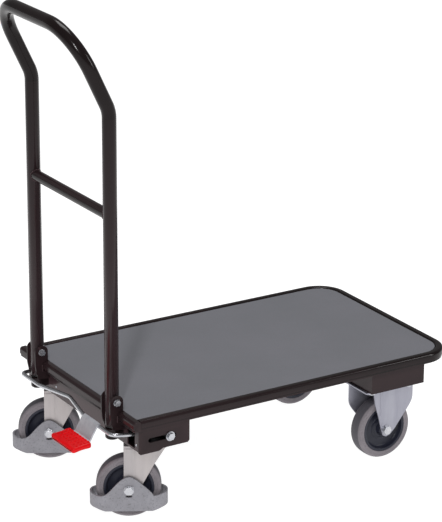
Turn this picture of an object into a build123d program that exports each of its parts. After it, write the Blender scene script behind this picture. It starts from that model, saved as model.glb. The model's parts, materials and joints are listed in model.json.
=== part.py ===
from build123d import *
import os
from math import cos, radians, sin, sqrt

# Folding platform cart. Millimetres, +X forward away from the handle, +Y to the left, +Z up.
# The origin is on the floor under the middle of the whole cart. "inset" is a distance
# inwards from the long edge of the deck, and "back" one forwards from its handle end.

# Deck
deck_length = 740.0
deck_width = 455.0
deck_top = 226.0
rim_width = 16.0
rim_height = 20.0
rim_corner = 62.0
rim_wall = 1.8
ledge_reach = 34.0
rail_cap = 2.0
board_thickness = 12.0
board_drop = 2.0
board_gap = 1.0
sheet = 2.5
screw_radius = 2.0
screw_bite = 8.0

# Handle
tube_radius = 13.45
tube_wall = 2.0
post_half_spacing = 149.0
post_behind = 1.6
pivot_height = 246.3
post_tail = 53.0
plug_flange = 3.0
knee_height = 808.0
rake_degrees = 25.4
rake_length = 171.4
knee_bend = 60.0
top_bend = 85.0
crossbar_height = 609.0
crossbar_radius = 10.65

# Casters
wheel_radius = 62.5
caster_height = 160.0
tyre_width = 32.0
centre_radius = 48.5
axle_radius = 5.0
fork_gap = 40.0
fork_sheet = 2.8
head_ring = 10.0
fixed_plate_half = 62.5
trail = 34.5
swivel_degrees = -29.3
rear_caster_back = 67.0
rear_caster_inset = 68.0
front_axle_back = 607.0
front_caster_inset = 66.5
guard_half_length = 74.5
guard_half_width = 30.0
guard_wall = 3.5
guard_bottom = 19.0

# Lock bail
bail_radius = 4.0
bail_pivot_back = 83.0
bail_pivot_height = 180.0
bail_pivot_inset = 24.5
bail_behind = 20.4
bail_height = 189.5
bail_bolt_radius = 4.0
bail_slide_travel = 42.0
pedal_middle_inset = 122.0
pedal_plate_width = 58.0
pedal_pad_width = 90.0
pad_front = 44.0
pad_end = 88.0
pad_thickness = 10.0
pad_low = 154.0
pad_rise = 5.6
rivet_top = 165.0
rivet_radius = 3.0
rivet_head_radius = 5.0

# Fits
running_gap = 0.05
face_gap = 0.3

# Worked out from the sizes above
half_width = deck_width / 2
handle_reach = post_behind + rake_length * sin(radians(rake_degrees)) + tube_radius
deck_back = (handle_reach - deck_length) / 2
deck_front = deck_back + deck_length
post_x = deck_back - post_behind
rim_bottom = deck_top - rim_height
board_top = deck_top - board_drop
board_bottom = board_top - board_thickness
rear_channel_back = 15.4
rear_channel_end = 126.0
cheek_inset = 8.0


def block(x0, x1, y0, y1, z0, z1):
    size = Box(x1 - x0, y1 - y0, z1 - z0)
    return Pos((x0 + x1) / 2, (y0 + y1) / 2, (z0 + z1) / 2) * size


def bar_z(x, y, z0, z1, radius):
    return Pos(x, y, (z0 + z1) / 2) * Cylinder(radius, abs(z1 - z0))


def bar_y(x, z, y0, y1, radius):
    return Pos(x, (y0 + y1) / 2, z) * Rot(90, 0, 0) * Cylinder(radius, abs(y1 - y0))


def hexagon_y(x, z, y0, y1, across_flats):
    outline = RegularPolygon(across_flats / 2, 6, major_radius=False)
    return Pos(x, max(y0, y1), z) * extrude(Plane.XZ * outline, abs(y1 - y0))


def hexagon_z(x, y, z0, z1, across_flats):
    outline = RegularPolygon(across_flats / 2, 6, major_radius=False)
    return Pos(x, y, z0) * extrude(outline, z1 - z0)


def side_plate(outline, y0, y1):
    """A plate whose outline is a face drawn in x and z, from y0 to y1."""
    return Pos(0, max(y0, y1), 0) * extrude(Plane.XZ * outline, abs(y1 - y0))


def turned(points):
    """A ring about the y axis from (radius, y) points."""
    return revolve(make_face(Polyline(*points, close=True)), Axis.Y)


def write(name, *solids):
    shape = solids[0] if len(solids) == 1 else Compound(children=list(solids))
    export_step(shape, "parts/" + name + ".step")


# Deck frame, board and channels


def rim_profile(origin, inwards, along, solid=False):
    """The rolled rim with its board ledge, on a plane across the rim, as a closed face."""
    outer = Polyline((0, -6), (0, -14), (2, -15), (2, -rim_height), (rim_width, -rim_height),
                     (rim_width, -17), (ledge_reach, -17), (ledge_reach, -14), (rim_width, -14), (rim_width, -4))
    top = Polyline((12, 0), (6, 0))
    shoulders = [RadiusArc((rim_width, -4), (12, 0), -4), RadiusArc((6, 0), (0, -6), -6)]
    section = make_face([*outer.edges(), *top.edges(), *shoulders])
    place = Plane(origin=origin, x_dir=inwards, z_dir=along)
    if solid:
        return place * section
    hollow = Polyline((rim_wall, -7), (rim_wall, -13), (2 + rim_wall, -14), (2 + rim_wall, rim_wall - rim_height),
                      (rim_width - rim_wall, rim_wall - rim_height), (rim_width - rim_wall, -5), (11.5, -rim_wall),
                      (7, -rim_wall), close=True)
    return place * (section - make_face(hollow))


def deck_rim():
    start = (deck_back + rim_width, -half_width)
    path = FilletPolyline(start, (deck_front, -half_width), (deck_front, half_width),
                          (deck_back + rim_width, half_width), radius=rim_corner)
    profile = rim_profile((start[0], start[1], deck_top), (0, 1, 0), (1, 0, 0))
    rim = sweep(profile, path=Pos(0, 0, deck_top) * path)
    for x, y in screw_places():
        rim -= bar_z(x, y, board_bottom - 4, board_bottom + 1, screw_radius)
    return rim


def end_rail():
    across = ((1, 0, 0), (0, -1, 0))
    rail = extrude(rim_profile((deck_back, half_width, deck_top), *across), deck_width, dir=(0, -1, 0))
    for y in (half_width, rail_cap - half_width):
        rail += extrude(rim_profile((deck_back, y, deck_top), *across, solid=True), rail_cap, dir=(0, -1, 0))
    for side in (-1, 1):
        post_y = side * post_half_spacing
        rail -= block(deck_back - 1, deck_back + ledge_reach + 1, post_y - cheek_out, post_y + cheek_out,
                      rim_bottom - 1, deck_top + 1)
        corner = [side * (half_width - ledge_reach), side * (half_width + 1)]
        rail -= block(deck_back + rim_width, deck_back + ledge_reach + 1, min(corner), max(corner),
                      rim_bottom - 1, deck_top + 1)
    return rail.solids()


def screw_places():
    """Where the board is screwed through the ledge of the long rims."""
    inset = half_width - (rim_width + ledge_reach) / 2
    return [(deck_back + back, side * inset) for back in (170, 400, 640) for side in (-1, 1)]


def deck_board():
    near = board_gap + rim_width
    outline = make_face(Polyline((deck_back + near, near - half_width), (deck_front - near, near - half_width),
                                 (deck_front - near, half_width - near), (deck_back + near, half_width - near),
                                 close=True))
    board = Pos(0, 0, board_bottom) * extrude(outline, board_thickness)
    board = fillet(board.edges().filter_by(Axis.Z).sort_by(Axis.X)[-2:], rim_corner - near)
    for x, y in screw_places():
        board -= bar_z(x, y, board_bottom - 1, board_bottom + screw_bite, screw_radius)
    return board


def board_screws():
    screws = []
    for x, y in screw_places():
        shank = bar_z(x, y, board_bottom - 3, board_bottom + screw_bite, screw_radius)
        head = bar_z(x, y, board_bottom - 6, board_bottom - 3, 4.2)
        screws.append(shank + head)
    return screws


def rear_channel():
    x0 = deck_back + rear_channel_back
    x1 = deck_back + rear_channel_end
    y1 = half_width - cheek_inset - sheet
    tray = block(x0, x1, -y1, y1, caster_height, rim_bottom)
    tray -= block(x0 + sheet, x1 - sheet, -y1 - 1, y1 + 1, caster_height + sheet, rim_bottom + 1)
    for side in (-1, 1):
        kingpin_y = side * (half_width - rear_caster_inset)
        tray -= bar_z(deck_back + rear_caster_back, kingpin_y, caster_height - 1, caster_height + 9, 6)
        # The arm of the bail comes in through a notch, and the spring goes out through a hole.
        notch = [side * (half_width - 23), side * (half_width - 51)]
        tray -= block(x0 - 1, x0 + sheet + 1, min(notch), max(notch), caster_height + 4, rim_bottom + 1)
        spring_y = side * (half_width - bail_pivot_inset)
        tray -= Pos(x1 - sheet / 2, spring_y, spring_height) * Rot(0, 90, 0) * Cylinder(2.2, sheet + 2)
    return tray


def slotted_cheek(side):
    outer = half_width - cheek_inset
    x0 = deck_back + rear_channel_back
    outline = make_face(Polyline(
        (x0, rim_bottom), (x0, caster_height - 2), (x0 + 4, caster_height - 5.5), (x0 + 44, caster_height - 5.5),
        (x0 + 53, caster_height - 1.4), (deck_back + rear_channel_end - 4, caster_height - 1.4),
        (deck_back + rear_channel_end, caster_height + 2.6),
        (deck_back + rear_channel_end, rim_bottom), close=True))
    plate = side_plate(outline, side * (outer - sheet), side * outer)
    slot_height = bail_bolt_radius + face_gap
    ends = [deck_back + bail_pivot_back - bail_slide_travel - 0.5, deck_back + bail_pivot_back + 9]
    for x in ends:
        plate -= bar_y(x, bail_pivot_height, side * (outer + 1), side * (outer - sheet - 1), slot_height)
    cut = [side * (outer + 1), side * (outer - sheet - 1)]
    plate -= block(ends[0], ends[1], min(cut), max(cut), bail_pivot_height - slot_height,
                   bail_pivot_height + slot_height)
    return plate


def front_channel():
    x0 = deck_back + 550
    x1 = deck_back + 676
    y1 = half_width - rim_width - 0.4
    top = board_bottom - 3
    tray = block(x0, x1, -y1, y1, caster_height, top)
    tray -= block(x0 + sheet, x1 - sheet, sheet - y1, y1 - sheet, caster_height + sheet, top + 1)
    for x, y in front_bolt_places():
        tray -= bar_z(x, y, caster_height - 1, caster_height + 9, 4)
    return tray


# Hinge brackets, in which the handle's posts turn

cheek_in = 15.0
cheek_sheet = 3.0
cheek_out = cheek_in + cheek_sheet
ear_radius = 14.0


def hinge_bracket(side):
    """Two ears with a web in front of the post, and a stop below it, open to the back."""
    post_y = side * post_half_spacing
    web_in = deck_back + 12.4
    web_out = deck_back + rear_channel_back
    skirt_low = deck_top - 37.5
    ear = Pos(post_x, pivot_height) * Circle(ear_radius)
    skirt = make_face(Polyline(
        (post_x - ear_radius, pivot_height), (post_x - ear_radius, deck_top - 7), (post_x - 10.5, deck_top - 25),
        (post_x - 8, skirt_low + 3.5), (web_in, skirt_low), (web_out, skirt_low), (web_out, deck_top),
        (post_x + ear_radius, deck_top + 1), (post_x + ear_radius, pivot_height), close=True))
    cheek = ear + skirt
    bracket = block(web_in, web_out, post_y - cheek_out, post_y + cheek_out, skirt_low, deck_top - 2)
    for low in (-cheek_out, cheek_in):
        bracket += side_plate(cheek, post_y + low, post_y + low + cheek_sheet)
    stop_low = skirt_low - 19.5
    stop_top = skirt_low + 2
    stop = bar_z(post_x, post_y, stop_low, stop_top, tube_radius)
    stop = fillet(stop.edges().sort_by(Axis.Z)[:1], 4)
    stop += block(post_x, web_out, post_y - tube_radius, post_y + tube_radius, stop_low + 4, stop_top)
    bracket += stop - block(web_out, web_out + 20, post_y - 20, post_y + 20, stop_low - 4, stop_top + 4)
    return bracket - bar_y(post_x, pivot_height, post_y - 20, post_y + 20, bail_bolt_radius)


def hinge_bolt(side):
    """A pivot bolt with its nut; both heads face the right side of the cart."""
    post_y = side * post_half_spacing
    near = post_y - cheek_out
    far = post_y + cheek_out
    bolt = bar_y(post_x, pivot_height, near - 1.5, far + 9, bail_bolt_radius)
    bolt += hexagon_y(post_x, pivot_height, near - 6, near - 1.5, 11)
    washer = bar_y(post_x, pivot_height, near - 1.5, near, 6.8)
    washer -= bar_y(post_x, pivot_height, near - 2, near + 1, bail_bolt_radius)
    nut = hexagon_y(post_x, pivot_height, far, far + 7, 12)
    nut -= bar_y(post_x, pivot_height, far - 1, far + 8, bail_bolt_radius)
    return [bolt, washer, nut]


# Handle

top_x = post_x - rake_length * sin(radians(rake_degrees))
top_z = knee_height + rake_length * cos(radians(rake_degrees))


def handle_path(low):
    return FilletPolyline(
        (post_x, -post_half_spacing, low), (post_x, -post_half_spacing, knee_height),
        (top_x, -post_half_spacing, top_z), (top_x, post_half_spacing, top_z),
        (post_x, post_half_spacing, knee_height), (post_x, post_half_spacing, low),
        radius=[knee_bend, top_bend, top_bend, knee_bend])


def handle_tube():
    low = pivot_height - post_tail + plug_flange
    start = Plane(origin=(post_x, -post_half_spacing, low), z_dir=(0, 0, 1))
    ring = Circle(tube_radius) - Circle(tube_radius - tube_wall)
    tube = sweep(start * ring, path=handle_path(low))
    for side in (-1, 1):
        post_y = side * post_half_spacing
        tube -= bar_y(post_x, pivot_height, post_y - 20, post_y + 20, 6)
    return tube


def handle_crossbar():
    bar = bar_y(post_x, crossbar_height, -post_half_spacing, post_half_spacing, crossbar_radius)
    bar -= bar_y(post_x, crossbar_height, -post_half_spacing, post_half_spacing, crossbar_radius - 1.5)
    for side in (-1, 1):
        bar -= bar_z(post_x, side * post_half_spacing, crossbar_height - 20, crossbar_height + 20, tube_radius)
    return bar


def pivot_bush(side):
    """The steel sleeve welded through a post."""
    post_y = side * post_half_spacing
    half = cheek_in - face_gap
    sleeve = bar_y(post_x, pivot_height, post_y - half, post_y + half, 6)
    return sleeve - bar_y(post_x, pivot_height, post_y - 20, post_y + 20, bail_bolt_radius + running_gap)


def post_plug(side):
    post_y = side * post_half_spacing
    low = pivot_height - post_tail
    flange = bar_z(post_x, post_y, low, low + plug_flange, tube_radius)
    flange = fillet(flange.edges().sort_by(Axis.Z)[:1], 2)
    return flange + bar_z(post_x, post_y, low + plug_flange, low + 20, tube_radius - tube_wall)


# Lock bail, its pedal, slide bolts and springs

spring_height = bail_pivot_height + 9


def bail_path():
    """The bent rod from eye to eye: near arm, pedal stretch, kink under the rail, far arm."""
    back = deck_back - bail_behind
    pivot_x = deck_back + bail_pivot_back
    eye_y = half_width - bail_pivot_inset
    corner_y = half_width - 46
    return FilletPolyline(
        (pivot_x, -eye_y, bail_pivot_height), (back, -corner_y, bail_height),
        (back, 150 - half_width, bail_height), (deck_back - 1.5, 245 - half_width, bail_height + 3.5),
        (back, 335 - half_width, bail_height), (back, corner_y, bail_height),
        (pivot_x, eye_y, bail_pivot_height),
        radius=[14, 25, 40, 40, 14])


def bail_rod():
    path = bail_path()
    start = Plane(origin=path @ 0, z_dir=path % 0)
    rod = sweep(start * Circle(bail_radius), path=path)
    for side in (-1, 1):
        eye_y = side * (half_width - bail_pivot_inset)
        rod -= bar_y(deck_back + bail_pivot_back, bail_pivot_height, eye_y - 15, eye_y + 15, 7)
    return rod


def bail_eye(side):
    """The sleeve at the end of an arm, with the tab that the spring hooks on."""
    x = deck_back + bail_pivot_back
    inner = side * (half_width - bail_pivot_inset - 8.5)
    outer = side * (half_width - bail_pivot_inset + 8.5)
    eye = bar_y(x, bail_pivot_height, inner, outer, 7)
    tab_y = side * (half_width - bail_pivot_inset)
    tab = block(x - 5, x + 5, tab_y - 1.5, tab_y + 1.5, bail_pivot_height, spring_height)
    tab += bar_y(x, spring_height, tab_y - 1.5, tab_y + 1.5, 5)
    tab -= bar_y(x, spring_height, tab_y - 3, tab_y + 3, 2.6)
    return eye + tab - bar_y(x, bail_pivot_height, inner, outer, bail_bolt_radius + running_gap)


def slide_bolt(side):
    """Bolt, washer and two nuts that carry an arm and slide in the slot of the cheek."""
    x = deck_back + bail_pivot_back
    outer = half_width - cheek_inset

    def ring(inset0, inset1, radius):
        made = bar_y(x, bail_pivot_height, side * (half_width - inset0), side * (half_width - inset1), radius)
        return made - bar_y(x, bail_pivot_height, side * (outer + 20), side * (outer - 60), bail_bolt_radius)

    def nut(inset0, inset1):
        made = hexagon_y(x, bail_pivot_height, side * (half_width - inset0), side * (half_width - inset1), 13)
        return made - bar_y(x, bail_pivot_height, side * (outer + 20), side * (outer - 60), bail_bolt_radius)

    head_face = cheek_inset - face_gap - 2
    shank = bar_y(x, bail_pivot_height, side * (half_width - head_face), side * (half_width - 42), bail_bolt_radius)
    head = hexagon_y(x, bail_pivot_height, side * (half_width - head_face + 4.3), side * (half_width - head_face), 13)
    washer = ring(head_face, head_face + 2, 9.5)
    spacer = nut(cheek_inset + sheet + face_gap, bail_pivot_inset - 8.5 - face_gap)
    end_nut = nut(bail_pivot_inset + 8.5 + face_gap, 40)
    return [shank + head, washer, spacer, end_nut]


def bail_spring(side):
    """A close-wound extension spring: hook in the tab, coils, and a loop outside the channel."""
    y = side * (half_width - bail_pivot_inset)
    tab_x = deck_back + bail_pivot_back
    wire = 0.8
    coil_start = deck_back + bail_pivot_back + 12
    coil_end = deck_back + rear_channel_end - 8
    turns = 13
    pitch = (coil_end - coil_start) / turns
    edge = [(0, 2.4), (0, 4.0)]
    for turn in range(turns):
        edge += [((turn + 0.5) * pitch, 4.8), ((turn + 1) * pitch, 4.0)]
    edge += [(turns * pitch, 2.4)]
    coils = revolve(make_face(Polyline(*edge, close=True)), Axis.X)
    coils = Pos(coil_start, y, spring_height) * coils
    lead = block(coil_start, coil_start + 1.6, y - wire, y + wire, spring_height, spring_height + 4)
    hook = Pos(tab_x + 4.2, y, spring_height) * Torus(4.2, wire)
    joint = block(tab_x + 8, coil_start + 1.6, y - wire / 2, y + wire / 2, spring_height - wire, spring_height + wire)
    tail = block(coil_end - 1.6, coil_end + 9, y - wire / 2, y + wire / 2, spring_height - wire, spring_height + wire)
    stay = block(coil_end - 1.6, coil_end, y - wire, y + wire, spring_height, spring_height + 4)
    loop = Pos(coil_end + 12.4, y, spring_height) * Rot(90, 0, 0) * Torus(3.4, wire)
    return coils + lead + hook + joint + tail + stay + loop


def pedal_line():
    """The bent pedal plate from the side: over the rod, down, and out under the foot."""
    return Polyline((deck_back - 19, bail_height + 6), (deck_back - 25.5, bail_height + 2.5),
                    (deck_back - 41, bail_height - 24), (deck_back - 84, bail_height - 29.5))


def pedal_plate():
    middle = pedal_middle_inset - half_width
    strip = trace(pedal_line(), line_width=3)
    plate = side_plate(strip, middle - pedal_plate_width / 2, middle + pedal_plate_width / 2)
    for hole_x in pedal_rivet_places():
        plate -= bar_z(hole_x, middle, pad_low, bail_height - 15, rivet_radius)
    return plate - bail_rod()


def pedal_rivet_places():
    return [deck_back - 54, deck_back - 74]


def pad_bottom(x):
    return pad_low + (x - deck_back + pad_end) * pad_rise / (pad_end - pad_front)


def pedal_pad():
    middle = pedal_middle_inset - half_width
    corners = []
    for x in (deck_back - pad_front, deck_back - pad_end):
        corners.append((x, pad_bottom(x)))
        corners.append((x, pad_bottom(x) + pad_thickness))
    outline = make_face(Polyline(corners[1], corners[0], corners[2], corners[3], close=True))
    pad = side_plate(outline, middle - pedal_pad_width / 2, middle + pedal_pad_width / 2)
    pad = fillet(pad.edges().filter_by(Axis.Y), 3)
    pad -= pedal_plate()
    for hole_x in pedal_rivet_places():
        pad -= bar_z(hole_x, middle, pad_low - 9, rivet_top, rivet_radius)
    return pad


def pedal_rivets():
    middle = pedal_middle_inset - half_width
    rivets = []
    for hole_x in pedal_rivet_places():
        seat = pad_bottom(hole_x - rivet_head_radius)
        shank = bar_z(hole_x, middle, seat, rivet_top, rivet_radius)
        rivets.append(shank + bar_z(hole_x, middle, seat - 2, seat, rivet_head_radius))
    return rivets


# Wheels, in their own frame: the axle along y through the origin


def tyre():
    half = tyre_width / 2
    return turned([(centre_radius, -half + 0.5), (56.5, -half), (60.5, 1.6 - half), (wheel_radius, 5 - half),
                   (wheel_radius, half - 5), (60.5, half - 1.6), (56.5, half), (centre_radius, half - 0.5)])


def wheel_centre():
    hub = (fork_gap - 1.6) / 2
    half = tyre_width / 2 - 0.5
    return turned([(8, -hub), (14, -hub), (16, -4), (39, -4), (42, -half), (centre_radius, -half),
                   (centre_radius, half), (42, half), (39, 4), (16, 4), (14, hub), (8, hub)])


def hub_tube():
    half = (fork_gap - 0.8) / 2
    bore = axle_radius + running_gap
    return turned([(bore, -half), (8, -half), (8, half), (bore, half)])


def axle_bolt(grip):
    """A bolt with its washer and nut, gripping from -grip to grip."""
    bolt = bar_y(0, 0, -grip - 2, grip + 9, axle_radius) + hexagon_y(0, 0, -grip - 6, -grip - 2, 16)
    washer = bar_y(0, 0, -grip - 2, -grip, 10) - bar_y(0, 0, -grip - 3, -grip + 1, axle_radius)
    nut = hexagon_y(0, 0, grip, grip + 8, 16) - bar_y(0, 0, grip - 1, grip + 9, axle_radius)
    return [bolt, washer, nut]


# Swivel casters, in their own frame: the kingpin along z, the wheel trailing towards -x

crown_top = caster_height - head_ring
crown_bottom = crown_top - 3.5


def swivel_head():
    ring = bar_z(0, 0, crown_top + face_gap, caster_height, 33)
    ring = fillet(ring.edges().sort_by(Axis.Z)[:1], 1.5)
    return ring - bar_z(0, 0, crown_top - 1, caster_height + 1, 6)


def kingpin():
    low = crown_bottom - face_gap
    bolt = bar_z(0, 0, low, caster_height + 14, 6) + hexagon_z(0, 0, low - 7, low, 18)
    nut = hexagon_z(0, 0, caster_height + sheet, caster_height + sheet + 9, 18)
    return [bolt, nut - bar_z(0, 0, caster_height, caster_height + 20, 6)]


def swivel_fork():
    inner = fork_gap / 2
    outer = inner + fork_sheet
    leg = make_face(Polyline((37, crown_top), (14, 113), (-8, 72), (-15, 50), (-22, 46), (-40, 46), (-47, 56),
                             (-47, 76), (-44, 84), (-44, crown_top), close=True))
    crown = bar_z(0, 0, crown_bottom, crown_top, 33) + block(-44, 37, -outer, outer, crown_bottom, crown_top)
    fork = crown
    for side in (-1, 1):
        fork += side_plate(leg, side * inner, side * outer)
        rib = [side * outer, side * (outer + 1.2)]
        fork += block(-44, -23, min(rib), max(rib), 58, crown_bottom - 2)
    fork -= bar_y(-trail, wheel_radius, -50, 50, axle_radius)
    return fork - bar_z(0, 0, crown_bottom - 1, crown_top + 1, 6 + running_gap)


def foot_guard():
    """A plastic ring round the wheel whose sides rise over the axle."""
    def stadium(half_length, half_across):
        return SlotOverall(2 * half_length, 2 * half_across)

    ring = stadium(guard_half_length, guard_half_width)
    ring -= stadium(guard_half_length - guard_wall, guard_half_width - guard_wall)
    wall = Pos(-trail, 0, guard_bottom) * extrude(ring, 90 - guard_bottom)
    hump = Spline((-90, 52), (-46, 52), (-20, 78), (0, 89), (20, 78), (46, 52), (90, 52),
                  tangents=((1, 0), (1, 0)))
    below = Polyline((90, 52), (90, 27), (62, 24), (45, guard_bottom), (-45, guard_bottom), (-62, 24), (-90, 27),
                     (-90, 52))
    keep = make_face([*hump.edges(), *below.edges()])
    guard = wall & (Pos(-trail, 0, 0) * side_plate(keep, -60, 60))
    for side in (-1, 1):
        boss = [side * (fork_gap / 2 + fork_sheet), side * (guard_half_width - guard_wall)]
        guard += bar_y(-trail, wheel_radius, boss[0], boss[1], 11)
        # The rib of the fork passes beside the boss.
        rib = [side * (fork_gap / 2 + fork_sheet), side * (fork_gap / 2 + fork_sheet + 1.2)]
        guard -= block(-44, -23, min(rib), max(rib), 50, 100)
    return guard - bar_y(-trail, wheel_radius, -60, 60, axle_radius)


# Fixed casters, in their own frame: the axle over the origin


def plate_bolt_offsets():
    return [(along * 44, across * 31) for along in (-1, 1) for across in (-1, 1)]


def fixed_leg(flare):
    """The outline of a leg that sweeps up to the plate on one side: forwards for 1, rearwards for -1."""
    under = caster_height - 3
    reach = fixed_plate_half
    sweep_up = Spline((20.5, 61.5), (34, 79), (reach - 6, 108), (reach, under - 29), tangents=((1, 1.3), (0, 1)))
    rest = Polyline((reach, under - 29), (reach, under), (-34, under), (-28, 121), (-18.5, 89), (-12, 62.5),
                    (-8, 52), (0, 48), (9, 51), (20.5, 61.5))
    leg = make_face([*sweep_up.edges(), *rest.edges()])
    return leg if flare > 0 else mirror(leg, Plane.YZ)


def fixed_fork():
    inner = fork_gap / 2
    outer = inner + fork_sheet
    under = caster_height - 3
    fork = block(-fixed_plate_half, fixed_plate_half, -40, 40, under, caster_height)
    for side in (-1, 1):
        fork += side_plate(fixed_leg(-side), side * inner, side * outer)
    for along, across in plate_bolt_offsets():
        fork -= bar_z(along, across, under - 1, caster_height + 1, 4)
    return fork - bar_y(0, wheel_radius, -50, 50, axle_radius)


def front_places():
    y = half_width - front_caster_inset
    return {"right": (deck_back + front_axle_back, -y), "left": (deck_back + front_axle_back, y)}


def front_bolt_places():
    return [(x + along, y + across) for x, y in front_places().values() for along, across in plate_bolt_offsets()]


def front_plate_bolts():
    made = []
    under = caster_height - 3
    for x, y in front_bolt_places():
        made.append(bar_z(x, y, under, caster_height + 12, 4) + hexagon_z(x, y, under - 5.3, under, 13))
        nut = hexagon_z(x, y, caster_height + sheet, caster_height + sheet + 6.5, 13)
        made.append(nut - bar_z(x, y, caster_height, caster_height + 20, 4))
    return made


os.makedirs("parts", exist_ok=True)

write("deck_rim", deck_rim())
write("end_rail", *end_rail())
write("deck_board", deck_board())
write("board_screws", *board_screws())
write("rear_channel", rear_channel())
write("front_channel", front_channel())
write("front_plate_bolts", *front_plate_bolts())
write("handle_tube", handle_tube())
write("handle_crossbar", handle_crossbar())
write("bail_rod", bail_rod())
write("pedal_plate", pedal_plate())
write("pedal_pad", pedal_pad())
write("pedal_rivets", *pedal_rivets())

slide_bolts = []
springs = []
for name, side in (("right", -1), ("left", 1)):
    write("slotted_cheek_" + name, slotted_cheek(side))
    write("hinge_bracket_" + name, hinge_bracket(side))
    write("hinge_bolt_" + name, *hinge_bolt(side))
    write("pivot_bush_" + name, pivot_bush(side))
    write("post_plug_" + name, post_plug(side))
    write("bail_eye_" + name, bail_eye(side))
    slide_bolts += slide_bolt(side)
    springs.append(bail_spring(side))

    at_kingpin = Pos(deck_back + rear_caster_back, side * (half_width - rear_caster_inset), 0)
    swivelled = at_kingpin * Rot(0, 0, swivel_degrees)
    rear_axle = swivelled * Pos(-trail, 0, wheel_radius)
    write("swivel_head_" + name, at_kingpin * swivel_head())
    write("kingpin_" + name, *[at_kingpin * piece for piece in kingpin()])
    write("swivel_fork_" + name, swivelled * swivel_fork())
    write("foot_guard_" + name, swivelled * foot_guard())
    write("rear_axle_bolt_" + name, *[rear_axle * piece for piece in axle_bolt(guard_half_width)])
    write("rear_tyre_" + name, rear_axle * tyre())
    write("rear_wheel_centre_" + name, rear_axle * wheel_centre())
    write("rear_hub_tube_" + name, rear_axle * hub_tube())

    x, y = front_places()[name]
    front_axle = Pos(x, y, wheel_radius)
    write("fixed_fork_" + name, Pos(x, y, 0) * fixed_fork())
    write("front_axle_bolt_" + name, *[front_axle * piece for piece in axle_bolt(fork_gap / 2 + fork_sheet)])
    write("front_tyre_" + name, front_axle * tyre())
    write("front_wheel_centre_" + name, front_axle * wheel_centre())
    write("front_hub_tube_" + name, front_axle * hub_tube())

write("slide_bolts", *slide_bolts)
write("bail_springs", *springs)
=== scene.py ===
import json
from math import atan2, cos, pi, radians, sin

import bmesh
import bpy
from mathutils import Matrix, Vector


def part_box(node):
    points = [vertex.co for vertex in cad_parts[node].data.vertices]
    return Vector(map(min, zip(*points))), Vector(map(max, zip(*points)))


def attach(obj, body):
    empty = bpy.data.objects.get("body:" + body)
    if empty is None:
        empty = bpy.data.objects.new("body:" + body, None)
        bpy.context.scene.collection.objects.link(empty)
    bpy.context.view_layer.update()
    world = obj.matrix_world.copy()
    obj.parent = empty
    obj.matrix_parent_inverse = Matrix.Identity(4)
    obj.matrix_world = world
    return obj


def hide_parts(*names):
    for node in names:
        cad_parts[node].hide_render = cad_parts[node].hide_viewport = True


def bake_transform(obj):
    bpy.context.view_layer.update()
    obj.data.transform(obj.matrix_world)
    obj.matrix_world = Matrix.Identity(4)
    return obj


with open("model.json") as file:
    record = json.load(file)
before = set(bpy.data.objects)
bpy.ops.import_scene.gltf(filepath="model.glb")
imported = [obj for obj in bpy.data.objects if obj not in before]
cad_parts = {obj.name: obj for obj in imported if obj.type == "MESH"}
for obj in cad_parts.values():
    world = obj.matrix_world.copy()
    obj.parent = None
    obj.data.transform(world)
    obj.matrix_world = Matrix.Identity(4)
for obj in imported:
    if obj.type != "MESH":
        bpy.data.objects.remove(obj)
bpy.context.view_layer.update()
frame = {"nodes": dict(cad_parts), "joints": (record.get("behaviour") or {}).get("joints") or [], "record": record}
cadNodes = frame["nodes"]
record = frame["record"]
bodyOf = {node: body for body, members in record["behaviour"]["bodies"].items() for node in members}
slotOf = {part["node"]: part["material_slot"] for part in record["subparts"]}
jointAt = {joint["name"]: joint for joint in frame["joints"]}
scene = bpy.context.scene
mm = 0.001
sides = {"left": 1, "right": -1}
print("frame loaded:", len(cadNodes), "nodes")


# Camera, light and floor

cameraView = {
    "place": (-2.49391, -4.02017, 2.09646),
    "azimuth": -31.854,
    "elevation": 19.55,
    "roll": 0.301,
    "lens": 176.76,
    "sensor": 36,
    "reach": 100,
}


def setCamera(view):
    camera = bpy.data.objects.new("camera", bpy.data.cameras.new("camera"))
    scene.collection.objects.link(camera)
    camera.data.lens = view["lens"]
    camera.data.sensor_width = view["sensor"]
    camera.data.clip_end = view["reach"]
    aside = Matrix.Rotation(radians(view["azimuth"]), 4, "Z")
    turn = aside @ Matrix.Rotation(radians(90 - view["elevation"]), 4, "X")
    roll = Matrix.Rotation(radians(view["roll"]), 4, "Z")
    camera.matrix_world = Matrix.Translation(view["place"]) @ turn @ roll
    scene.camera = camera


studio = {
    "worldStrength": 0.26,
    "floorColour": (0.3, 0.3, 0.3, 1),
    "floorGlow": 0.95,
    "floorRough": 0.9,
    "floorSpecular": 0.1,
    "floorHalf": 30,
    "aim": (0, 0, 0.4),
    "softboxes": {
        # name: place, size, power
        "keyBox": ((-2.2, -2.6, 2.6), (0.22, 1.0), 60),
        "sideBox": ((2.8, -2.6, 2.0), (0.5, 1.6), 32),
        "topBox": ((0.4, 0.6, 3.6), (1.6, 1.6), 62),
    },
}


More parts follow.
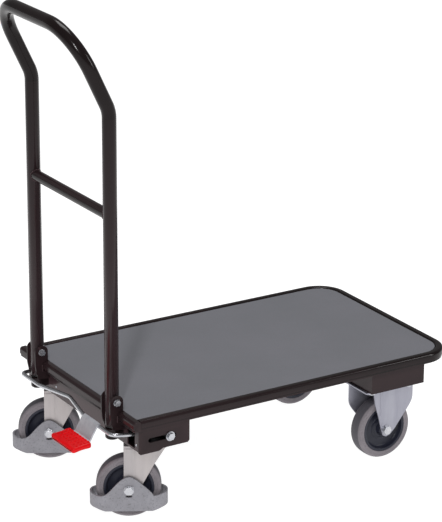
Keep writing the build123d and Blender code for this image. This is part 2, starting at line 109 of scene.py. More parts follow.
def setStudio(values):
    world = bpy.data.worlds.new("studio")
    scene.world = world
    world.use_nodes = True
    background = world.node_tree.nodes["Background"]
    background.inputs["Color"].default_value = (1, 1, 1, 1)
    background.inputs["Strength"].default_value = values["worldStrength"]
    for name, (place, size, power) in values["softboxes"].items():
        lamp = bpy.data.lights.new(name, "AREA")
        lamp.shape = "RECTANGLE"
        lamp.size, lamp.size_y = size
        lamp.energy = power
        box = bpy.data.objects.new(name, lamp)
        scene.collection.objects.link(box)
        aim = Vector(values["aim"]) - Vector(place)
        turn = aim.to_track_quat("-Z", "Y").to_matrix().to_4x4()
        box.matrix_world = Matrix.Translation(place) @ turn
    mesh = bpy.data.meshes.new("floor")
    half = values["floorHalf"]
    corners = [(-half, -half, 0), (half, -half, 0), (half, half, 0), (-half, half, 0)]
    mesh.from_pydata(corners, [], [(0, 1, 2, 3)])
    floor = bpy.data.objects.new("floor", mesh)
    scene.collection.objects.link(floor)
    paint = bpy.data.materials.new("floorPaint")
    paint.use_nodes = True
    shader = paint.node_tree.nodes["Principled BSDF"]
    shader.inputs["Base Color"].default_value = values["floorColour"]
    shader.inputs["Emission Color"].default_value = (1, 1, 1, 1)
    shader.inputs["Emission Strength"].default_value = values["floorGlow"]
    shader.inputs["Roughness"].default_value = values["floorRough"]
    shader.inputs["Specular IOR Level"].default_value = values["floorSpecular"]
    mesh.materials.append(paint)
    scene.view_settings.view_transform = "Standard"


setCamera(cameraView)
setStudio(studio)
print("camera, light and floor set")


# Finishes


def addNode(tree, kind, inputs=None, **settings):
    node = tree.nodes.new(kind)
    for key, value in settings.items():
        setattr(node, key, value)
    for key, value in (inputs or {}).items():
        if isinstance(value, bpy.types.NodeSocket):
            tree.links.new(value, node.inputs[key])
        else:
            node.inputs[key].default_value = value
    return node


def noise(tree, place, scale, detail=2.0, roughness=0.5):
    inputs = {"Vector": place, "Scale": scale, "Detail": detail, "Roughness": roughness}
    return addNode(tree, "ShaderNodeTexNoise", inputs).outputs["Fac"]


def ranged(tree, value, low, high, fromLow=0.3, fromHigh=0.7):
    inputs = {"Value": value, "From Min": fromLow, "From Max": fromHigh, "To Min": low, "To Max": high}
    return addNode(tree, "ShaderNodeMapRange", inputs).outputs["Result"]


def mixed(tree, factor, first, second, blend="MIX"):
    node = addNode(tree, "ShaderNodeMix", data_type="RGBA", blend_type=blend)
    for index, value in ((0, factor), (6, first), (7, second)):
        if isinstance(value, bpy.types.NodeSocket):
            tree.links.new(value, node.inputs[index])
        else:
            node.inputs[index].default_value = value
    return node.outputs[2]


# screen values of 0 to 255, made linear
def rgb(red, green, blue):
    def linear(v):
        v /= 255
        return v / 12.92 if v <= 0.04045 else ((v + 0.055) / 1.055) ** 2.4
    return (linear(red), linear(green), linear(blue), 1)


finishes = {
    # base and second tone, size of the tone patches, grain size, how rough, and the grain's
    # depth in mm
    # the powder coat's lighter brown along convex edges is a painted highlight
    "powderCoat": {"tone": rgb(17, 12, 12), "second": rgb(25, 17, 18), "patch": 9, "grain": 1500,
                   "rough": (0.13, 0.22), "depth": 0.03, "wear": rgb(84, 64, 68),
                   "specular": 0.18},
    "boardLaminate": {"tone": rgb(107, 108, 113), "second": rgb(113, 113, 119), "patch": 5,
                      "grain": 900, "rough": (0.5, 0.62), "depth": 0.04,
                      "specks": rgb(90, 91, 97), "specular": 0.25},
    "zincPlate": {"tone": rgb(198, 198, 202), "second": rgb(176, 178, 184), "patch": 60,
                  "grain": 700, "rough": (0.2, 0.32), "depth": 0.006, "metallic": 0.95},
    "fixedForkSteel": {"tone": rgb(164, 164, 174), "second": rgb(146, 146, 158), "patch": 34,
                       "grain": 500, "rough": (0.36, 0.5), "depth": 0.03, "metallic": 0.75,
                       "streaks": True},
    "plateZinc": {"tone": rgb(200, 200, 206), "second": rgb(182, 183, 190), "patch": 80,
                  "grain": 300, "rough": (0.4, 0.52), "depth": 0.01, "metallic": 0.55},
    "forkSteel": {"tone": rgb(190, 183, 182), "second": rgb(172, 167, 168), "patch": 34,
                  "grain": 500, "rough": (0.38, 0.52), "depth": 0.03, "metallic": 0.75,
                  "streaks": True},
    "satinBlack": {"tone": rgb(26, 26, 28), "second": rgb(34, 34, 36), "patch": 40, "grain": 900,
                   "rough": (0.38, 0.5), "depth": 0.03},
    # the tyre's darker colour on its running surface is painted shade
    "tyreRubber": {"tone": rgb(118, 113, 118), "second": rgb(134, 128, 133), "patch": 24,
                   "grain": 650, "rough": (0.55, 0.72), "depth": 0.08, "specks": rgb(96, 92, 97),
                   "specular": 0.3, "treadShade": rgb(84, 82, 88)},
    "wheelPlastic": {"tone": rgb(33, 35, 47), "second": rgb(40, 42, 55), "patch": 30,
                     "grain": 600, "rough": (0.3, 0.42), "depth": 0.03, "specular": 0.3},
    "guardPlastic": {"tone": rgb(136, 135, 141), "second": rgb(150, 149, 156), "patch": 45,
                     "grain": 420, "rough": (0.5, 0.66), "depth": 0.12,
                     "specks": rgb(104, 103, 107), "specular": 0.4},
    "pedalPlastic": {"tone": rgb(236, 4, 16), "second": rgb(214, 2, 12), "patch": 60,
                     "grain": 500, "rough": (0.3, 0.42), "depth": 0.06, "specular": 0.18},
    "plugPlastic": {"tone": rgb(22, 22, 23), "second": rgb(30, 30, 31), "patch": 40, "grain": 700,
                    "rough": (0.5, 0.6), "depth": 0.04},
}


# how the tones, specks, painted edge highlight, painted shade on the running surface of the tyres, and grain of
# every finish are laid on
coating = {
    "streakScale": (1, 1, 0.12),
    "speckGrain": 0.6,
    # low and high result, then the noise values that give them
    "specks": (0, 0.75, 0.55, 0.72),
    # painted highlight along sharp convex edges: low and high result, then the sharpness of the edges that give
    # them
    "wear": (0, 0.55, 0.52, 0.6),
    # painted shade on the running surface of the tyres: low and high result, then the radii in mm that give them
    "treadShade": (0, 1, 61.2, 61.9),
    "bump": 0.6,
}


def makeFinish(name, values):
    material = bpy.data.materials.new(name)
    material.use_nodes = True
    tree = material.node_tree
    shader = tree.nodes["Principled BSDF"]
    place = addNode(tree, "ShaderNodeTexCoord").outputs["Object"]
    if values.get("streaks"):
        place = addNode(tree, "ShaderNodeMapping", {"Vector": place, "Scale": coating["streakScale"]})
        place = place.outputs["Vector"]
    grain = noise(tree, place, values["grain"], 3, 0.6)
    patches = ranged(tree, noise(tree, place, values["patch"], 4, 0.6), 0, 1)
    colour = mixed(tree, patches, values["tone"], values["second"])
    if "specks" in values:
        fine = noise(tree, place, values["grain"] * coating["speckGrain"], 2, 0.7)
        colour = mixed(tree, ranged(tree, fine, *coating["specks"]), colour, values["specks"])
    # painted highlight: a lighter colour mixed in along sharp convex edges
    if "wear" in values:
        edge = addNode(tree, "ShaderNodeNewGeometry").outputs["Pointiness"]
        colour = mixed(tree, ranged(tree, edge, *coating["wear"]), colour, values["wear"])
    # painted shade: a darker colour on the outermost radii of the tyres
    if "treadShade" in values:
        radius = addNode(tree, "ShaderNodeAttribute", attribute_name="turnRadius").outputs["Fac"]
        colour = mixed(tree, ranged(tree, radius, *coating["treadShade"]), colour, values["treadShade"])
    tree.links.new(colour, shader.inputs["Base Color"])
    low, high = values["rough"]
    tree.links.new(ranged(tree, grain, low, high), shader.inputs["Roughness"])
    relief = {"Height": grain, "Strength": coating["bump"], "Distance": values["depth"] * mm}
    bump = addNode(tree, "ShaderNodeBump", relief)
    tree.links.new(bump.outputs["Normal"], shader.inputs["Normal"])
    shader.inputs["Metallic"].default_value = values.get("metallic", 0)
    shader.inputs["Specular IOR Level"].default_value = values.get("specular", 0.5)
    return material


finish = {name: makeFinish(name, values) for name, values in finishes.items()}
finishOfSlot = {
    "powder_coat": "powderCoat", "board": "boardLaminate", "zinc": "zincPlate",
    "fork_steel": "forkSteel", "black_steel": "satinBlack", "spring_steel": "zincPlate",
    "tyre_rubber": "tyreRubber", "wheel_plastic": "wheelPlastic", "guard_plastic": "guardPlastic",
    "plug_plastic": "plugPlastic", "pedal_plastic": "pedalPlastic",
}


# pieces that differ from the rest of their material slot
finishOfKind = {"fixed_fork": "fixedForkSteel", "pedal_plate": "plateZinc"}


def kindOf(node):
    for side in sides:
        if node.endswith("_" + side):
            return node[:-len(side) - 1]
    return node


def finishFor(node, slot):
    kind = kindOf(node) if node else None
    return finish[finishOfKind.get(kind, finishOfSlot[slot])]


print("finishes made:", len(finish))


# Making pieces


def link(name, mesh):
    piece = bpy.data.objects.new(name, mesh)
    scene.collection.objects.link(piece)
    return piece


# a mesh from a bmesh, which is then freed
def meshOf(name, shape):
    mesh = bpy.data.meshes.new(name)
    shape.to_mesh(mesh)
    shape.free()
    return mesh


# a mesh of points, with edges between the pairs given
def pointMesh(name, points, pairs=()):
    mesh = bpy.data.meshes.new(name)
    mesh.from_pydata(points, list(pairs), [])
    return mesh


# adds a named value to each point of a mesh
def pointValues(mesh, name, kind, values):
    attribute = mesh.attributes.new(name, kind, "POINT")
    for index, value in enumerate(values):
        attribute.data[index].value = value


# freezes a piece's modifiers into its mesh
def plain(piece):
    depsgraph = bpy.context.evaluated_depsgraph_get()
    frozen = bpy.data.meshes.new_from_object(piece.evaluated_get(depsgraph))
    piece.modifiers.clear()
    piece.data = frozen


def unsharpen(piece):
    for edge in piece.data.edges:
        edge.use_edge_sharp = False


# gives a finished piece its finish and its body, and hides the nodes that it stands for
def settle(piece, standsFor, body=None, slot=None, rides=True):
    first = standsFor[0] if standsFor else None
    slot = slot or slotOf[first]
    if not piece.data.materials:
        piece.data.materials.append(finishFor(first, slot))
    if standsFor:
        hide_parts(*standsFor)
    if rides:
        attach(piece, body or bodyOf[first])


# Sheet, bar and bolts whose shape is right as drawn get broken edges

edges = {
    # width of the broken edge in mm
    "deck_rim": 0.8, "end_rail": 0.8, "deck_board": 0.6, "rear_channel": 0.9, "front_channel": 1.2,
    "slotted_cheek": 0.7, "hinge_bracket": 0.8, "hinge_bolt": 0.5, "handle_crossbar": 0.2,
    "pedal_plate": 0.5, "slide_bolts": 0.5, "swivel_head": 0.5, "kingpin": 0.6,
    "swivel_fork": 0.6, "foot_guard": 0.9, "rear_axle_bolt": 0.6, "front_axle_bolt": 0.6,
    "fixed_fork": 0.6, "front_plate_bolts": 0.6, "bail_rod": 0.3, "bail_eye": 0.4,
    "board_screws": 0.4, "pedal_rivets": 0.5, "pivot_bush": 0.2, "post_plug": 0.4,
    "rear_hub_tube": 0.3, "front_hub_tube": 0.3,
}


breaking = {
    # mm and degrees
    "weldDistance": 0.004,
    "flatAngle": 0.6,
    "sharpAngle": 30,
    "bevelAngle": 34,
    "segments": 2,
}


def edgedCopy(node, width, cutter=None):
    source = cadNodes[node].data
    shape = bmesh.new()
    shape.from_mesh(source)
    bmesh.ops.remove_doubles(shape, verts=shape.verts, dist=breaking["weldDistance"] * mm)
    bmesh.ops.dissolve_limit(shape, angle_limit=radians(breaking["flatAngle"]),
                             verts=shape.verts, edges=shape.edges)
    for face in shape.faces:
        face.smooth = True
    sharp = radians(breaking["sharpAngle"])
    for edge in shape.edges:
        edge.smooth = len(edge.link_faces) == 2 and edge.calc_face_angle() < sharp
    mesh = meshOf(node + "_edged", shape)
    if "custom_normal" in mesh.attributes:
        mesh.attributes.remove(mesh.attributes["custom_normal"])
    piece = link(node + "_edged", mesh)
    if cutter:
        cut = piece.modifiers.new("cut", "BOOLEAN")
        cut.object = cutter
        cut.solver = "EXACT"
    bevel = piece.modifiers.new("brokenEdge", "BEVEL")
    bevel.width = width * mm
    bevel.segments = breaking["segments"]
    bevel.limit_method = "ANGLE"
    bevel.angle_limit = radians(breaking["bevelAngle"])
    bevel.use_clamp_overlap = True
    bevel.harden_normals = True
    plain(piece)
    if cutter:
        bpy.data.objects.remove(cutter)
    settle(piece, [node])


# the frame of a wheel: its axle along y through the origin, and up along z
def wheelPlace(joint):
    centre = Vector(joint["pos_m"])
    axle = Vector(joint["axis"]).normalized()
    across = axle.cross(Vector((0, 0, 1)))
    turn = Matrix((across, axle, Vector((0, 0, 1)))).transposed().to_4x4()
    return Matrix.Translation(centre) @ turn


guardSlot = {
    # a crescent through each side of a foot guard, under the axle bolt
    "inner": 9.0,
    "outer": 15.6,
    "halfAngle": 27,
    "innerShare": 0.8,
    "span": (23.4, 33.0),
    "steps": 14,
}


def slotCutter(v, place):
    shape = bmesh.new()
    for side in (1, -1):
        rings = []
        for along in v["span"]:
            ring = []
            for step in range(v["steps"] + 1):
                angle = radians(-90 + v["halfAngle"] * (2 * step / v["steps"] - 1))
                ring.append((v["outer"] * cos(angle), v["outer"] * sin(angle)))
            for step in range(v["steps"], -1, -1):
                turned = v["halfAngle"] * v["innerShare"] * (2 * step / v["steps"] - 1)
                angle = radians(-90 + turned)
                ring.append((v["inner"] * cos(angle), v["inner"] * sin(angle)))
            rings.append([shape.verts.new(place @ (Vector((x, side * along, z)) * mm))
                          for x, z in ring])
        count = len(rings[0])
        for k in range(count):
            following = (k + 1) % count
            shape.faces.new((rings[0][k], rings[0][following], rings[1][following], rings[1][k]))
        shape.faces.new(rings[0])
        shape.faces.new(rings[1])
    bmesh.ops.recalc_face_normals(shape, faces=shape.faces)
    return link("slotCutter", meshOf("slotCutter", shape))


for node in sorted(cadNodes):
    kind = kindOf(node)
    if kind == "foot_guard":
        place = wheelPlace(jointAt["rear_axle_" + node.split("_")[-1]])
        edgedCopy(node, edges[kind], slotCutter(guardSlot, place))
    elif kind in edges:
        edgedCopy(node, edges[kind])
print("edged pieces made")


# Lathe work


creaseAngle = 38


# a closed ring from (radius, along) points in mm, turned about the y axis and then placed
def lathed(name, profile, steps, place):
    shape = bmesh.new()
    rings = []
    for step in range(steps):
        angle = 2 * pi * step / steps
        ring = []
        for radius, along in profile:
            point = Vector((radius * cos(angle), along, radius * sin(angle))) * mm
            ring.append(shape.verts.new(place @ point))
        rings.append(ring)
    count = len(profile)
    for step in range(steps):
        near, far = rings[step], rings[(step + 1) % steps]
        for k in range(count):
            following = (k + 1) % count
            shape.faces.new((near[k], near[following], far[following], far[k]))
    bmesh.ops.recalc_face_normals(shape, faces=shape.faces)
    for face in shape.faces:
        face.smooth = True
    for edge in shape.edges:
        edge.smooth = edge.calc_face_angle() < radians(creaseAngle)
    mesh = meshOf(name, shape)
    # the radius of each point, which the tyre finish reads for its painted shade on the running surface
    pointValues(mesh, "turnRadius", "FLOAT", [point[0] for point in profile] * steps)
    return link(name, mesh)


wheel = {
    "radius": 62.5,
    "halfWidth": 16.0,
    "seat": 48.5,
    "hubHalf": 19.2,
    "steps": 96,
}


# the (radius, along) points of one side, then the other side's in reverse
def mirrored(half):
    return half + [(radius, -along) for radius, along in reversed(half)]


def tyreProfile(w):
    r, h, seat = w["radius"], w["halfWidth"], w["seat"]
    return mirrored([(seat, h - 0.5), (seat + 0.6, h - 0.1), (52.4, h), (53.0, h - 0.45),
                     (53.8, h - 0.45), (54.4, h), (56.6, h), (58.2, h - 0.5), (59.6, h - 1.4),
                     (60.8, h - 2.8), (61.6, h - 4.4), (r - 0.5, h - 6.2), (r - 0.25, h - 9),
                     (r - 0.12, 1.2), (r, 0.5)])


def centreProfile(w):
    h, seat, hub = w["halfWidth"], w["seat"], w["hubHalf"]
    return mirrored([(8, hub - 0.3), (8.6, hub), (12.6, hub), (13.4, hub - 0.6), (13.9, hub - 2.2),
                     (15.2, 8.0), (17.2, 6.2), (20.4, 5.6), (20.9, 6.3), (24.4, 6.3), (25.0, 5.5),
                     (30, 5.0), (36.4, 4.8), (39.2, 5.6), (41.2, 8.0), (42.2, 11.8), (43.0, h - 1.3),
                     (44.2, h - 0.6), (seat - 0.7, h - 0.6), (seat, h - 1.2)])


for end in ("rear", "front"):
    for side in sides:
        place = wheelPlace(jointAt[end + "_axle_" + side])
        for made, node, profile in (("_tyre", "_tyre", tyreProfile(wheel)),
                                    ("_centre", "_wheel_centre", centreProfile(wheel))):
            turned = lathed(end + made + "_moulded_" + side, profile, wheel["steps"], place)
            settle(turned, [end + node + "_" + side])
print("wheels turned")


# Geometry Nodes


# a modifier tree with a geometry input and output, and further inputs given as name: (kind, value)
def newTree(name, inputs):
    tree = bpy.data.node_groups.new(name, "GeometryNodeTree")
    tree.interface.new_socket("Geometry", in_out="INPUT", socket_type="NodeSocketGeometry")
    tree.interface.new_socket("Geometry", in_out="OUTPUT", socket_type="NodeSocketGeometry")
    for label, (kind, value) in inputs.items():
        socket = tree.interface.new_socket(label, in_out="INPUT", socket_type="NodeSocket" + kind)
        if value is not None:
            socket.default_value = value
    start = tree.nodes.new("NodeGroupInput")
    return tree, start.outputs


def endTree(tree, geometry, material):
    real = addNode(tree, "GeometryNodeRealizeInstances", {"Geometry": geometry})
    painted = addNode(tree, "GeometryNodeSetMaterial",
                      {"Geometry": real.outputs[0], "Material": material})
    end = tree.nodes.new("NodeGroupOutput")
    tree.links.new(painted.outputs[0], end.inputs[0])


def applyTree(piece, tree, values):
    modifier = piece.modifiers.new(tree.name, "NODES")
    modifier.node_group = tree
    for item in tree.interface.items_tree:
        if item.in_out == "INPUT" and item.name in values:
            modifier[item.identifier] = values[item.name]
    plain(piece)


# The bent handle tube

handle = {
    "radius": 13.45,
    "kneeBend": 60.0,
    "topBend": 85.0,
    "kneeHeight": 808.0,
    "rake": 25.4,
    "rakeLength": 171.4,
    "around": 40,
    "perBend": 18,
}


def bentTubeTree():
    tree, given = newTree("bentTube", {"Radius": ("Float", 0.01), "Around": ("Int", 32),
                                       "Per Bend": ("Int", 12), "Finish": ("Material", None)})
    path = addNode(tree, "GeometryNodeMeshToCurve", {"Mesh": given["Geometry"]})
    bend = addNode(tree, "GeometryNodeInputNamedAttribute", {"Name": "bend"}, data_type="FLOAT")
    rounded = addNode(tree, "GeometryNodeFilletCurve",
                      {"Curve": path.outputs[0], "Radius": bend.outputs["Attribute"],
                       "Count": given["Per Bend"]}, mode="POLY")
    ring = addNode(tree, "GeometryNodeCurvePrimitiveCircle",
                   {"Radius": given["Radius"], "Resolution": given["Around"]})
    tube = addNode(tree, "GeometryNodeCurveToMesh",
                   {"Curve": rounded.outputs[0], "Profile Curve": ring.outputs[0], "Fill Caps": True})
    smooth = addNode(tree, "GeometryNodeSetShadeSmooth", {"Geometry": tube.outputs[0]})
    endTree(tree, smooth.outputs[0], given["Finish"])
    return tree


def makeHandle(h):
    low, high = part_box("handle_tube")
    postX = jointAt["handle_fold"]["pos_m"][0]
    postY = high.y - h["radius"] * mm
    topX = postX - h["rakeLength"] * sin(radians(h["rake"])) * mm
    topZ = (h["kneeHeight"] + h["rakeLength"] * cos(radians(h["rake"]))) * mm
    knee = h["kneeHeight"] * mm
    points = [(postX, -postY, low.z), (postX, -postY, knee), (topX, -postY, topZ),
              (topX, postY, topZ), (postX, postY, knee), (postX, postY, low.z)]
    bends = (0, h["kneeBend"], h["topBend"], h["topBend"], h["kneeBend"], 0)
    mesh = pointMesh("handlePath", points, [(k, k + 1) for k in range(len(points) - 1)])
    pointValues(mesh, "bend", "FLOAT", [value * mm for value in bends])
    tube = link("handle_tube_bent", mesh)
    applyTree(tube, bentTubeTree(), {"Radius": h["radius"] * mm, "Around": h["around"],
                                     "Per Bend": h["perBend"], "Finish": finish["powderCoat"]})
    unsharpen(tube)
    settle(tube, ["handle_tube"])


makeHandle(handle)
print("handle bent")


# Pressed ridges down the outer faces of the fixed forks

ridge = {
    "radius": 2.6,
    "sink": 1.2,
    # how far behind the axle on the right-hand leg of a fork, and ahead of it on the left-hand one
    "offset": 14.0,
    "low": 95.0,
    "high": 154.0,
    "forkHalf": 22.8,
    "around": 24,
}


def makeRidges(v):
    verts, lines = [], []
    for side in sides:
        axle = Vector(jointAt["front_axle_" + side]["pos_m"])
        for leg in sides.values():
            x = axle.x + leg * v["offset"] * mm
            y = axle.y + leg * (v["forkHalf"] - v["sink"]) * mm
            lines.append((len(verts), len(verts) + 1))
            verts += [(x, y, v["low"] * mm), (x, y, v["high"] * mm)]
    mesh = pointMesh("ridgeLines", verts, lines)
    pointValues(mesh, "bend", "FLOAT", [0] * len(verts))
    piece = link("fixed_fork_ridges", mesh)
    applyTree(piece, bentTubeTree(), {"Radius": v["radius"] * mm, "Around": v["around"],
                                      "Per Bend": 1, "Finish": finish["fixedForkSteel"]})
    settle(piece, [], "chassis", "fork_steel")


makeRidges(ridge)
print("ridges pressed")


# Coil springs of the lock, with the hook in the tab and the loop outside the channel

spring = {
    "wire": 0.8,
    "coilRadius": 4.0,
    "turns": 17,
    "perTurn": 18,
    "wireSides": 8,
    "hookRadius": 4.2,
    "coilBack": 12.0,
    "tail": 8.0,
    "loopRadius": 3.4,
    # straight wire between the coils and the hook, and between the coils and the loop
    "hookLead": 1.0,
    "loopLead": 2.0,
    "loopGap": 3.0,
    "leadRise": 0.6,
    # first and last angle in degrees, and the number of steps
    "hookArc": (-150, 100, 16),
    "loopArc": (180, -150, 18),
}


def springTree():
    tree, given = newTree("coilSpring", {"Wire": ("Float", 0.001), "Coil Radius": ("Float", 0.004),
                                         "Turns": ("Float", 10), "Length": ("Float", 0.03),
                                         "Finish": ("Material", None)})
    ring = addNode(tree, "GeometryNodeCurvePrimitiveCircle",
                   {"Radius": given["Wire"], "Resolution": spring["wireSides"]})
    ends = addNode(tree, "GeometryNodeMeshToCurve", {"Mesh": given["Geometry"]})
    endWire = addNode(tree, "GeometryNodeCurveToMesh",
                      {"Curve": ends.outputs[0], "Profile Curve": ring.outputs[0], "Fill Caps": True})
    spiral = addNode(tree, "GeometryNodeCurveSpiral",
                     {"Resolution": spring["perTurn"], "Rotations": given["Turns"],
                      "Start Radius": given["Coil Radius"], "End Radius": given["Coil Radius"],
                      "Height": given["Length"]})
    coil = addNode(tree, "GeometryNodeCurveToMesh",
                   {"Curve": spiral.outputs[0], "Profile Curve": ring.outputs[0], "Fill Caps": True})
    laid = addNode(tree, "GeometryNodeTransform",
                   {"Geometry": coil.outputs[0], "Rotation": (0, radians(90), 0)})
    start = addNode(tree, "GeometryNodeInputNamedAttribute", {"Name": "coilStart"}, data_type="BOOLEAN")
    placed = addNode(tree, "GeometryNodeInstanceOnPoints",
                     {"Points": given["Geometry"], "Selection": start.outputs["Attribute"],
                      "Instance": laid.outputs[0]})
    both = addNode(tree, "GeometryNodeJoinGeometry")
    tree.links.new(endWire.outputs[0], both.inputs[0])
    tree.links.new(placed.outputs[0], both.inputs[0])
    smooth = addNode(tree, "GeometryNodeSetShadeSmooth", {"Geometry": both.outputs[0]})
    endTree(tree, smooth.outputs[0], given["Finish"])
    return tree


# points of an arc in the x-z plane, from one angle to another
def arcPoints(centre, radius, first, last, count):
    points = []
    for step in range(count + 1):
        angle = radians(first + (last - first) * step / count)
        points.append(centre + Vector((radius * cos(angle), 0, radius * sin(angle))))
    return points


def makeSprings(v):
    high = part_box("bail_springs")[1]
    hookLow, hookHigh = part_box("bail_eye_left")
    bolt = jointAt["pedal_press"]["pos_m"][0]
    height = high.z - (v["coilRadius"] + v["wire"]) * mm
    verts, lines, starts = [], [], []
    coilX = bolt + v["coilBack"] * mm
    loopX = high.x - (v["loopRadius"] + v["wire"]) * mm
    length = loopX - v["loopRadius"] * mm - v["tail"] * mm - coilX
    up = v["coilRadius"] * mm
    coilEnd = coilX + length
    for side in sides.values():
        y = side * (abs(hookLow.y) + abs(hookHigh.y)) / 2
        hook = Vector((bolt + v["hookRadius"] * mm, y, height))
        loop = Vector((loopX, y, height))
        first = arcPoints(hook, v["hookRadius"] * mm, *v["hookArc"])
        first += [Vector((coilX - v["hookLead"] * mm, y, height + up)),
                  Vector((coilX, y, height + up))]
        last = [Vector((coilEnd, y, height + up)),
                Vector((coilEnd + v["loopLead"] * mm, y, height + up * v["leadRise"])),
                Vector((loopX - (v["loopRadius"] + v["loopGap"]) * mm, y, height))]
        last += arcPoints(loop, v["loopRadius"] * mm, *v["loopArc"])
        for path in (first, last):
            base = len(verts)
            verts += path
            lines += [(base + k, base + k + 1) for k in range(len(path) - 1)]
            starts += [False] * len(path)
        starts.append(True)
        verts.append(Vector((coilX, y, height)))
    mesh = pointMesh("springPath", verts, lines)
    pointValues(mesh, "coilStart", "BOOLEAN", starts)
    piece = link("bail_springs_coiled", mesh)
    applyTree(piece, springTree(), {"Wire": v["wire"] * mm, "Coil Radius": v["coilRadius"] * mm,
                                    "Turns": float(v["turns"]), "Length": length,
                                    "Finish": finish["zincPlate"]})
    unsharpen(piece)
    settle(piece, ["bail_springs"], rides=False)
    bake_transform(piece)


makeSprings(spring)
print("springs wound")


# Weld beads where the tubes and plates meet

weld = {
    "bead": 1.5,
    "spacing": 1.5,
    "crossbarRadius": 10.65,
    "sink": 0.5,
    "steps": 48,
    # how far a bracket seam stops short of the rail's lower and upper edge
    "lowGap": 1.0,
    "highGap": 7.0,
    "flatness": 0.75,
    "smallest": 0.85,
    "largest": 1.1,
}


def weldTree():
    tree, given = newTree("weldBead", {"Bead": ("Float", 0.0015), "Spacing": ("Float", 0.0015),
                                       "Finish": ("Material", None)})
    path = addNode(tree, "GeometryNodeMeshToCurve", {"Mesh": given["Geometry"]})
    even = addNode(tree, "GeometryNodeResampleCurve",
                   {"Curve": path.outputs[0], "Length": given["Spacing"]}, mode="LENGTH")
    along = addNode(tree, "GeometryNodeInputTangent")
    turned = addNode(tree, "FunctionNodeAlignRotationToVector", {"Vector": along.outputs[0]}, axis="Z")
    ball = addNode(tree, "GeometryNodeMeshIcoSphere", {"Radius": given["Bead"], "Subdivisions": 2})
    flat = addNode(tree, "GeometryNodeTransform",
                   {"Geometry": ball.outputs[0], "Scale": (1, 1, weld["flatness"])})
    size = addNode(tree, "FunctionNodeRandomValue", data_type="FLOAT_VECTOR")
    size.inputs[0].default_value = (weld["smallest"],) * 3
    size.inputs[1].default_value = (weld["largest"],) * 3
    beads = addNode(tree, "GeometryNodeInstanceOnPoints",
                    {"Points": even.outputs[0], "Instance": flat.outputs[0],
                     "Rotation": turned.outputs[0], "Scale": size.outputs[0]})
    smooth = addNode(tree, "GeometryNodeSetShadeSmooth", {"Geometry": beads.outputs[0]})
    endTree(tree, smooth.outputs[0], given["Finish"])
    return tree


beadTree = weldTree()


# a welded seam along lists of points; closed ones join up
def weldSeams(name, paths, v, body, closed):
    verts, lines = [], []
    for path in paths:
        base = len(verts)
        count = len(path)
        verts += path
        lines += [(base + k, base + k + 1) for k in range(count - 1)]
        if closed:
            lines.append((base + count - 1, base))
    piece = link(name, pointMesh(name, verts, lines))
    applyTree(piece, beadTree, {"Bead": v["bead"] * mm, "Spacing": v["spacing"] * mm,
                                "Finish": finish["powderCoat"]})
    settle(piece, [], body, "powder_coat")


def crossbarSeams(v):
    low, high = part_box("handle_crossbar")
    postX = (low.x + high.x) / 2
    height = (low.z + high.z) / 2
    postRadius = handle["radius"]
    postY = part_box("handle_tube")[1].y / mm - postRadius
    paths = []
    for side in sides.values():
        path = []
        for step in range(v["steps"]):
            angle = 2 * pi * step / v["steps"]
            across = (v["crossbarRadius"] + v["sink"]) * cos(angle)
            up = (v["crossbarRadius"] + v["sink"]) * sin(angle)
            inwards = (postRadius ** 2 - across ** 2) ** 0.5 + v["sink"]
            path.append(Vector((postX + across * mm, side * (postY - inwards) * mm,
                                height + up * mm)))
        paths.append(path)
    return paths


# up both edges of each hinge bracket, on the outer face of the end rail
def bracketSeams(v):
    paths = []
    railLow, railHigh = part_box("end_rail")
    x = railLow.x - v["sink"] * mm
    for side in sides:
        low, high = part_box("hinge_bracket_" + side)
        for y in (low.y - v["sink"] * mm, high.y + v["sink"] * mm):
            paths.append([Vector((x, y, railLow.z + v["lowGap"] * mm)),
                          Vector((x, y, railHigh.z - v["highGap"] * mm))])
    return paths


weldSeams("crossbar_welds", crossbarSeams(weld), weld, "handle", True)
weldSeams("bracket_welds", bracketSeams(weld), weld, "chassis", False)
print("seams welded")


# Domed rivets through the rear channel's back, where the cheeks and the bracket webs are fixed

rivet = {
    "radius": 2.4,
    "rise": 1.0,
    # inset from the long edge of the deck, and height above the channel's floor, in mm
    "places": ((18.0, 12.5), (52.5, 37.0), (92.0, 37.0), (123.5, 20.0)),
    "segments": 20,
    "rings": 12,
}


def rivetTree():
    tree, given = newTree("rivets", {"Radius": ("Float", 0.002), "Rise": ("Float", 0.001),
                                     "Finish": ("Material", None)})
    ball = addNode(tree, "GeometryNodeMeshUVSphere",
                   {"Segments": rivet["segments"], "Rings": rivet["rings"], "Radius": given["Radius"]})
    ratio = addNode(tree, "ShaderNodeMath", operation="DIVIDE")
    tree.links.new(given["Rise"], ratio.inputs[0])
    tree.links.new(given["Radius"], ratio.inputs[1])
    scale = addNode(tree, "ShaderNodeCombineXYZ", {"X": ratio.outputs[0], "Y": 1.0, "Z": 1.0})
    dome = addNode(tree, "GeometryNodeTransform",
                   {"Geometry": ball.outputs[0], "Scale": scale.outputs[0]})
    heads = addNode(tree, "GeometryNodeInstanceOnPoints",
                    {"Points": given["Geometry"], "Instance": dome.outputs[0]})
    smooth = addNode(tree, "GeometryNodeSetShadeSmooth", {"Geometry": heads.outputs[0]})
    endTree(tree, smooth.outputs[0], given["Finish"])
    return tree


def makeRivets(v):
    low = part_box("rear_channel")[0]
    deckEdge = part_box("deck_rim")[1].y
    points = [(low.x, side * (deckEdge - inset * mm), low.z + height * mm)
              for inset, height in v["places"] for side in sides.values()]
    piece = link("channel_rivets", pointMesh("rivetPoints", points))
    applyTree(piece, rivetTree(), {"Radius": v["radius"] * mm, "Rise": v["rise"] * mm,
                                   "Finish": finish["zincPlate"]})
    settle(piece, [], "chassis", "zinc")


makeRivets(rivet)
print("rivets set")


# Foot pad of the pedal: a moulded block with a rounded lip and rows of studs

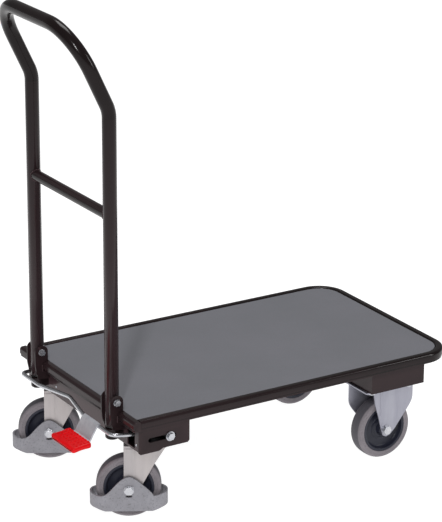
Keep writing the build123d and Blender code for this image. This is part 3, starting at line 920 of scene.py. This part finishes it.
pad = {
    "corner": 8.0,
    "edge": 3.0,
    "lipReach": 11.0,
    "dish": 0.5,
    "waist": 2.2,
    "studRadius": 2.4,
    "studHeight": 1.6,
    "studTop": 1.4,
    "studSides": 12,
    "studRows": 4,
    "studColumns": 8,
    # the studs' inset from the lip, from both ends along x, and from both sides along y
    "studInset": 3.0,
    "studMargin": 8.0,
    "studSideMargin": 18.0,
    # the source's points within this of an end give its height there
    "endZone": 9.0,
    "rows": 14,
    # where the dish starts and how long it takes to get deep, as shares of the lip
    "dishStart": 0.75,
    "dishRamp": 0.4,
    # how far a rounded edge's middle point is from its corner, as a share of the edge
    "round": 0.3,
}


def studTree():
    tree, given = newTree("padStuds", {"Stud Radius": ("Float", 0.002), "Stud Height": ("Float", 0.001),
                                       "Rows": ("Int", 4), "Columns": ("Int", 8),
                                       "Size X": ("Float", 0.02), "Size Y": ("Float", 0.06),
                                       "Slope": ("Vector", None),
                                       "Middle": ("Vector", None), "Finish": ("Material", None)})
    grid = addNode(tree, "GeometryNodeMeshGrid",
                   {"Size X": given["Size X"], "Size Y": given["Size Y"], "Vertices X": given["Rows"],
                    "Vertices Y": given["Columns"]})
    cone = addNode(tree, "GeometryNodeMeshCone",
                   {"Vertices": pad["studSides"], "Radius Top": pad["studTop"] * mm,
                    "Radius Bottom": given["Stud Radius"], "Depth": given["Stud Height"]})
    studs = addNode(tree, "GeometryNodeInstanceOnPoints",
                    {"Points": grid.outputs[0], "Instance": cone.outputs[0]})
    placed = addNode(tree, "GeometryNodeTransform",
                     {"Geometry": studs.outputs[0], "Translation": given["Middle"],
                      "Rotation": given["Slope"]})
    both = addNode(tree, "GeometryNodeJoinGeometry")
    tree.links.new(given["Geometry"], both.inputs[0])
    tree.links.new(placed.outputs[0], both.inputs[0])
    endTree(tree, both.outputs[0], given["Finish"])
    return tree


def makePad(v):
    low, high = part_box("pedal_pad")
    source = cadNodes["pedal_pad"].data
    rear = [vert.co for vert in source.vertices if vert.co.x < low.x + v["endZone"] * mm]
    front = [vert.co for vert in source.vertices if vert.co.x > high.x - v["endZone"] * mm]
    rearTop, frontTop = max(c.z for c in rear), max(c.z for c in front)
    rearLow, frontLow = min(c.z for c in rear), min(c.z for c in front)
    middleY = (low.y + high.y) / 2
    halfY = (high.y - low.y) / 2
    length = high.x - low.x
    corner, edge, lip = v["corner"] * mm, v["edge"] * mm, v["lipReach"] * mm
    dishAt = lip * v["dishStart"]
    shape = bmesh.new()
    rings = []
    for row in range(v["rows"] + 1):
        share = row / v["rows"]
        x = low.x + length * share
        waist = v["waist"] * mm * (sin(pi * share) ** 2)
        half = halfY - waist
        fromEnd = min(share, 1 - share) * length
        if fromEnd < corner:
            half -= corner - (corner ** 2 - (corner - fromEnd) ** 2) ** 0.5
        top = rearTop + (frontTop - rearTop) * share
        bottom = rearLow + (frontLow - rearLow) * share
        fromRear = length * share
        dip = 0 if fromRear < dishAt else min(1, (fromRear - dishAt) / (lip * v["dishRamp"]))
        top -= v["dish"] * mm * dip
        squeeze = max(0, 1 - fromEnd / edge)
        top -= squeeze ** 2 * edge
        bottom += squeeze ** 2 * edge
        bit = edge * v["round"]
        outline = ((-half, bottom + edge), (-half + bit, bottom + bit), (-half + edge, bottom),
                   (half - edge, bottom), (half - bit, bottom + bit), (half, bottom + edge),
                   (half, top - edge), (half - bit, top - bit), (half - edge, top),
                   (-half + edge, top), (-half + bit, top - bit), (-half, top - edge))
        rings.append([shape.verts.new((x, middleY + y, z)) for y, z in outline])
    for near, far in zip(rings, rings[1:]):
        for k in range(len(near)):
            following = (k + 1) % len(near)
            shape.faces.new((near[k], near[following], far[following], far[k]))
    shape.faces.new(rings[0])
    shape.faces.new(rings[-1])
    bmesh.ops.recalc_face_normals(shape, faces=shape.faces)
    for face in shape.faces:
        face.smooth = True
    piece = link("pedal_pad_moulded", meshOf("pedal_pad_moulded", shape))
    slope = -atan2(frontTop - rearTop, length)
    reach = length - (v["lipReach"] + v["studMargin"]) * mm
    middleX = low.x + lip + v["studInset"] * mm + reach / 2
    middleTop = rearTop + (frontTop - rearTop) * (middleX - low.x) / length
    applyTree(piece, studTree(), {
        "Stud Radius": v["studRadius"] * mm, "Stud Height": v["studHeight"] * mm, "Rows": v["studRows"],
        "Columns": v["studColumns"], "Size X": reach,
        "Size Y": 2 * halfY - v["studSideMargin"] * mm, "Slope": (0, slope, 0),
        "Middle": (middleX, middleY, middleTop - v["dish"] * mm), "Finish": finish["pedalPlastic"]})
    settle(piece, ["pedal_pad"])


makePad(pad)
print("pad moulded")


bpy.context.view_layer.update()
for node, thing in cadNodes.items():
    thing.data.materials.clear()
    thing.data.materials.append(finishFor(node, slotOf[node]))
